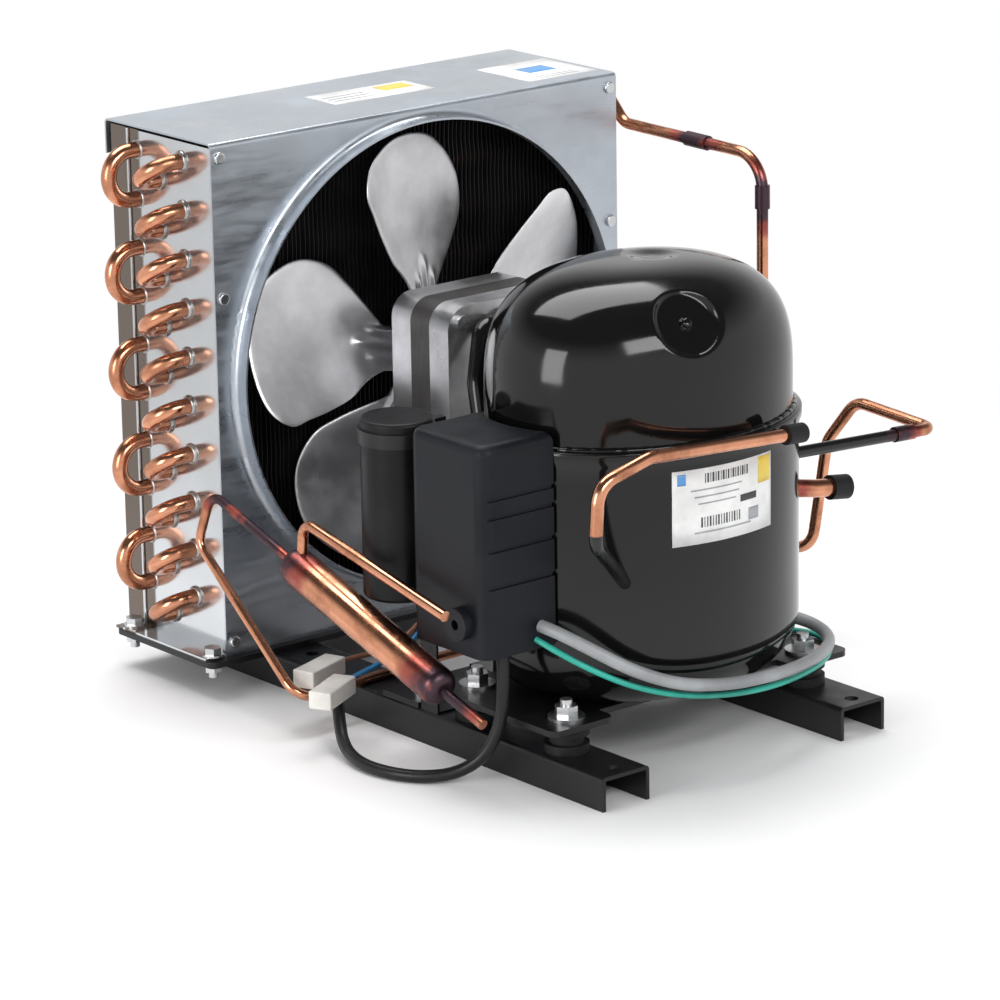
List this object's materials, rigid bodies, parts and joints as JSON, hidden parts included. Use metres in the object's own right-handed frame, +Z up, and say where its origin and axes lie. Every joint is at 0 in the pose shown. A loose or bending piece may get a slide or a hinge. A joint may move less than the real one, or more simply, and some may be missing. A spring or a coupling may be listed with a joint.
{
  "type": "refrigeration condensing unit",
  "caption": "Condensing unit with an oval sealed compressor, a fan-cooled finned coil in a sheet-metal shroud, copper lines and a filter drier on two rails.",
  "frame": {"origin": "on the floor under the middle of the unit's box, cords left out", "axes": "+Z up, +Y from the compressor towards the coil, +X to the right seen from the compressor end"},
  "size_m": [0.311, 0.3564, 0.2835],
  "materials": {
    "aluminium": "rolled aluminium",
    "black_plastic": "moulded, fine satin texture",
    "black_steel": "satin black paint on steel",
    "cable_black": "black sheath",
    "cable_grey": "grey sheath",
    "capacitor_case": "smooth black case",
    "cast_metal": "die-cast end shield",
    "copper": "drawn copper tube, heat stained at the joints",
    "fins": "dark coated fins",
    "galvanised": "zinc-coated sheet with faint spangle",
    "laminations": "dark varnished steel stack",
    "rubber": "moulded rubber",
    "shell_paint": "glossy black enamel",
    "steel": "machined steel",
    "white_plastic": "natural nylon",
    "winding": "enamelled copper wire",
    "wire_blue": "blue insulation",
    "wire_brown": "brown insulation",
    "wire_green": "green insulation",
    "zinc_fastener": "bright zinc plate"
  },
  "bodies": {
    "base": {"base_bolts": "zinc_fastener", "base_nuts": "zinc_fastener", "base_washers": "zinc_fastener", "black_cable": "cable_black", "blue_wire": "wire_blue", "brown_wire": "wire_brown", "capacitor": "capacitor_case", "capacitor_bracket": "galvanised", "compressor_lower_shell": "shell_paint", "compressor_upper_shell": "shell_paint", "cross_plate": "black_steel", "discharge_line": "copper", "drier_process_tube": "copper", "end_plate_left": "galvanised", "end_plate_right": "galvanised", "filter_drier": "copper", "fin_pack": "fins", "foot_bolts": "zinc_fastener", "foot_nuts": "zinc_fastener", "foot_plate": "black_steel", "foot_washers": "zinc_fastener", "green_wire": "wire_green", "grey_cable": "cable_grey", "grommets": "rubber", "hairpin_bends": "copper", "left_rail": "black_steel", "liquid_line": "copper", "motor_bearings": "steel", "motor_bracket": "black_steel", "motor_front_shield": "cast_metal", "motor_rear_shield": "cast_metal", "motor_screws": "zinc_fastener", "motor_stator": "laminations", "motor_strip": "black_steel", "motor_winding": "winding", "overload_protector": "black_plastic", "process_stub": "copper", "pump_block": "steel", "pump_crankshaft": "steel", "pump_piston": "steel", "pump_rod": "steel", "pump_rotor": "steel", "pump_springs": "steel", "pump_stator": "laminations", "return_bends_diagonal": "copper", "return_bends_upright": "copper", "right_rail": "black_steel", "shroud": "galvanised", "shroud_screws": "zinc_fastener", "start_relay": "black_plastic", "stub_caps": "rubber", "suction_stub": "shell_paint", "terminal_cover": "black_plastic", "terminal_pins": "steel", "wire_connectors": "white_plastic"},
    "fan": {"fan_blades": "aluminium", "fan_hub": "cast_metal", "fan_nut": "zinc_fastener", "motor_rotor": "steel", "motor_shaft": "steel"}
  },
  "joints": [
    {"name": "fan_spin", "type": "hinge", "parent": "base", "child": "fan", "pos_m": [-0.0015, 0.0875, 0.1573], "axis": [0, 1, 0], "continuous": true}
  ]
}
